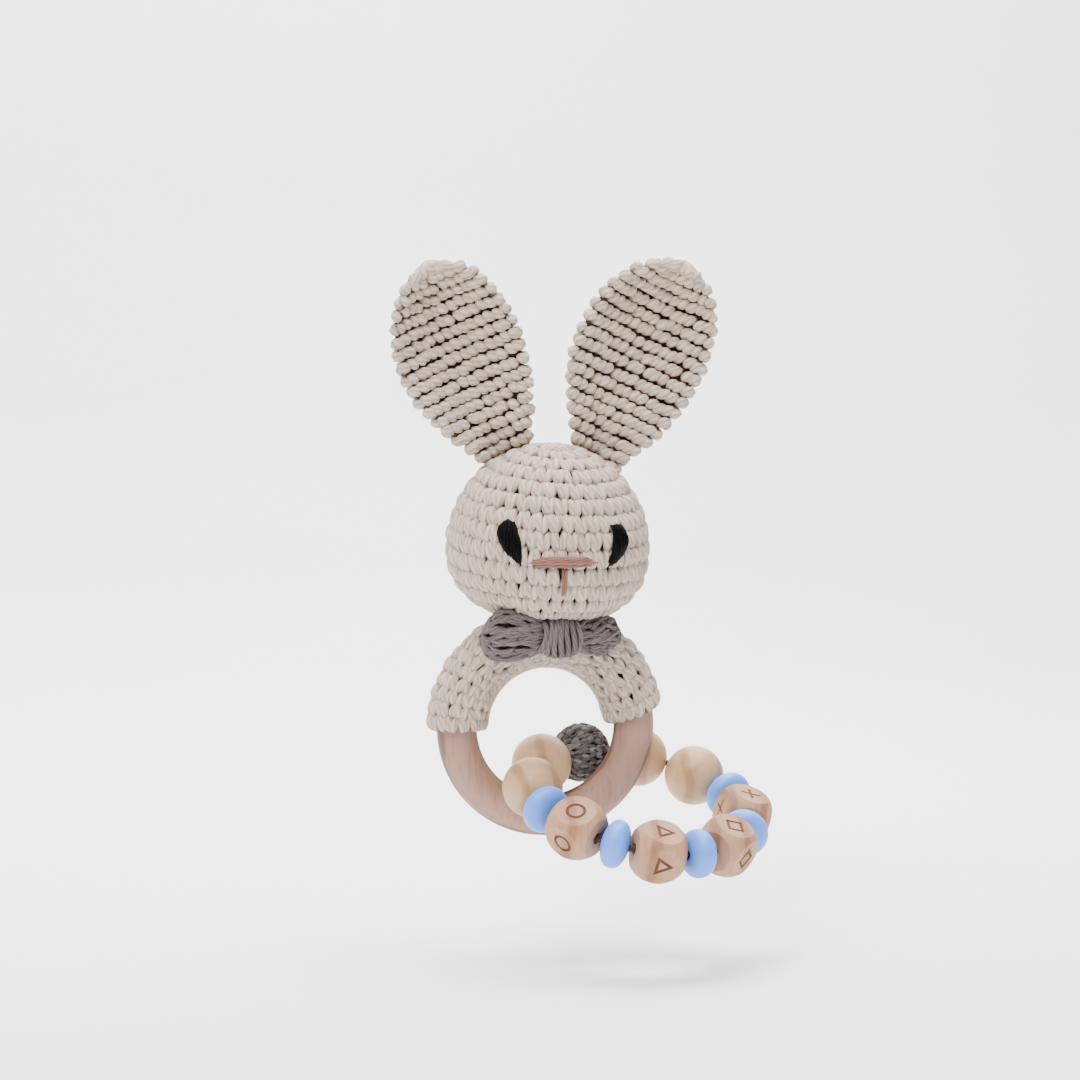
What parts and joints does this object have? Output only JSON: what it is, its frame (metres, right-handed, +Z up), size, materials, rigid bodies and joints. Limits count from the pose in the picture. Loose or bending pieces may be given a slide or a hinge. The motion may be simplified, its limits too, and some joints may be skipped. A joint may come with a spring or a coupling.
{
  "type": "baby rattle",
  "caption": "Crochet rabbit rattle on a wooden teething ring, with a threaded loop of wooden and silicone beads that swings, turns and spins.",
  "frame": {"origin": "Centre of the teething ring, where the hand closes round it.", "axes": "+Z runs up the toy from the ring through the head to the ears, the face looks along -Y, +X is to the viewer's right when the face is seen from the front. The ring lies in the XZ plane."},
  "size_m": [0.0939, 0.0712, 0.1502],
  "materials": {
    "natural_crochet": "crocheted cotton, natural beige",
    "natural_thread": "natural cotton thread",
    "grey_crochet": "crocheted cotton, warm grey",
    "grey_thread": "grey cotton thread",
    "black_thread": "black embroidery cotton",
    "pink_thread": "dusty pink embroidery cotton",
    "filling": "white polyester fibre filling",
    "capsule_plastic": "white moulded polypropylene",
    "pellet_plastic": "small round plastic pellets",
    "ring_beech": "turned beech, oiled, satin",
    "pale_wood": "turned maple, bare, satin",
    "beech": "beech, sanded, engraved and burnt motif",
    "blue_silicone": "pale blue food-grade silicone, satin",
    "cord": "dark brown braided cord"
  },
  "bodies": {
    "bunny": {"ring_sleeve": "natural_crochet", "sleeve_lacing": "natural_thread", "head_cover": "natural_crochet", "head_filling": "filling", "rattle_shell_upper": "capsule_plastic", "rattle_shell_lower": "capsule_plastic", "left_ear": "natural_crochet", "right_ear": "natural_crochet", "ear_stitches": "natural_thread", "left_eye": "black_thread", "right_eye": "black_thread", "nose_stitches": "pink_thread", "mouth_stitch": "pink_thread", "neck_seam": "natural_thread", "bow_knot": "grey_crochet", "bow_left_loop": "grey_crochet", "bow_right_loop": "grey_crochet", "bow_stitches": "grey_thread"},
    "pellets": {"rattle_pellets": "pellet_plastic"},
    "ring": {"teething_ring": "ring_beech"},
    "bead_loop": {"bead_cord": "cord", "cord_knot": "cord"},
    "round_bead_1": {"round_bead_1": "pale_wood"},
    "silicone_disc_1": {"silicone_disc_1": "blue_silicone"},
    "block_bead_1": {"block_bead_1": "beech"},
    "silicone_disc_2": {"silicone_disc_2": "blue_silicone"},
    "block_bead_2": {"block_bead_2": "beech"},
    "silicone_disc_3": {"silicone_disc_3": "blue_silicone"},
    "block_bead_3": {"block_bead_3": "beech"},
    "silicone_disc_4": {"silicone_disc_4": "blue_silicone"},
    "block_bead_4": {"block_bead_4": "beech"},
    "silicone_disc_5": {"silicone_disc_5": "blue_silicone"},
    "round_bead_2": {"round_bead_2": "pale_wood"},
    "round_bead_3": {"round_bead_3": "pale_wood"},
    "crochet_bead": {"crochet_bead_core": "pale_wood", "crochet_bead_cover": "grey_crochet"},
    "round_bead_4": {"round_bead_4": "pale_wood"}
  },
  "joints": [
    {"name": "pellet_shake", "type": "slide", "parent": "bunny", "child": "pellets", "axis": [0, 0, 1], "range_m": [0, 0.009]},
    {"name": "ring_turn", "type": "hinge", "parent": "bunny", "child": "ring", "pos_m": [0, 0, 0], "axis": [0, -1, 0], "range_deg": [-45, 10]},
    {"name": "loop_swing", "type": "hinge", "parent": "ring", "child": "bead_loop", "pos_m": [0.0184, -0.0006, -0.0136], "axis": [0.2493, -0.0499, 0.9671], "range_deg": [-5, 165]},
    {"name": "round_bead_1_spin", "type": "hinge", "parent": "bead_loop", "child": "round_bead_1", "pos_m": [-0.00593, -0.0131, -0.01376], "axis": [-0.0487, -0.943, -0.3292], "continuous": true},
    {"name": "silicone_disc_1_spin", "type": "hinge", "parent": "bead_loop", "child": "silicone_disc_1", "pos_m": [-0.00484, -0.02392, -0.01779], "axis": [0.3754, -0.8532, -0.3623], "continuous": true},
    {"name": "block_bead_1_spin", "type": "hinge", "parent": "bead_loop", "child": "block_bead_1", "pos_m": [0.00126, -0.03164, -0.02149], "axis": [0.6919, -0.6398, -0.3347], "continuous": true},
    {"name": "silicone_disc_2_spin", "type": "hinge", "parent": "bead_loop", "child": "silicone_disc_2", "pos_m": [0.00955, -0.03723, -0.02475], "axis": [0.9073, -0.3322, -0.2579], "continuous": true},
    {"name": "block_bead_2_spin", "type": "hinge", "parent": "bead_loop", "child": "block_bead_2", "pos_m": [0.0198, -0.03844, -0.02676], "axis": [0.9893, 0.0224, -0.1439], "continuous": true},
    {"name": "silicone_disc_3_spin", "type": "hinge", "parent": "bead_loop", "child": "silicone_disc_3", "pos_m": [0.03013, -0.03676, -0.02775], "axis": [0.9275, 0.3737, -0.009], "continuous": true},
    {"name": "block_bead_3_spin", "type": "hinge", "parent": "bead_loop", "child": "block_bead_3", "pos_m": [0.03875, -0.03079, -0.02694], "axis": [0.7292, 0.6722, 0.128], "continuous": true},
    {"name": "silicone_disc_4_spin", "type": "hinge", "parent": "bead_loop", "child": "silicone_disc_4", "pos_m": [0.04529, -0.02278, -0.02508], "axis": [0.4213, 0.8727, 0.2469], "continuous": true},
    {"name": "block_bead_4_spin", "type": "hinge", "parent": "bead_loop", "child": "block_bead_4", "pos_m": [0.04733, -0.01298, -0.0219], "axis": [0.0484, 0.943, 0.3293], "continuous": true},
    {"name": "silicone_disc_5_spin", "type": "hinge", "parent": "bead_loop", "child": "silicone_disc_5", "pos_m": [0.0463, -0.00317, -0.01824], "axis": [-0.3288, 0.8723, 0.362], "continuous": true},
    {"name": "round_bead_2_spin", "type": "hinge", "parent": "bead_loop", "child": "round_bead_2", "pos_m": [0.03953, 0.00532, -0.01417], "axis": [-0.692, 0.6396, 0.3347], "continuous": true},
    {"name": "round_bead_3_spin", "type": "hinge", "parent": "bead_loop", "child": "round_bead_3", "pos_m": [0.02631, 0.01168, -0.00987], "axis": [-0.966, 0.1581, 0.2048], "continuous": true},
    {"name": "crochet_bead_spin", "type": "hinge", "parent": "bead_loop", "child": "crochet_bead", "pos_m": [0.01121, 0.00996, -0.00816], "axis": [-0.9275, -0.3738, 0.009], "continuous": true},
    {"name": "round_bead_4_spin", "type": "hinge", "parent": "bead_loop", "child": "round_bead_4", "pos_m": [-0.00086, 0.0007, -0.00961], "axis": [-0.5863, -0.7873, -0.1911], "continuous": true}
  ]
}
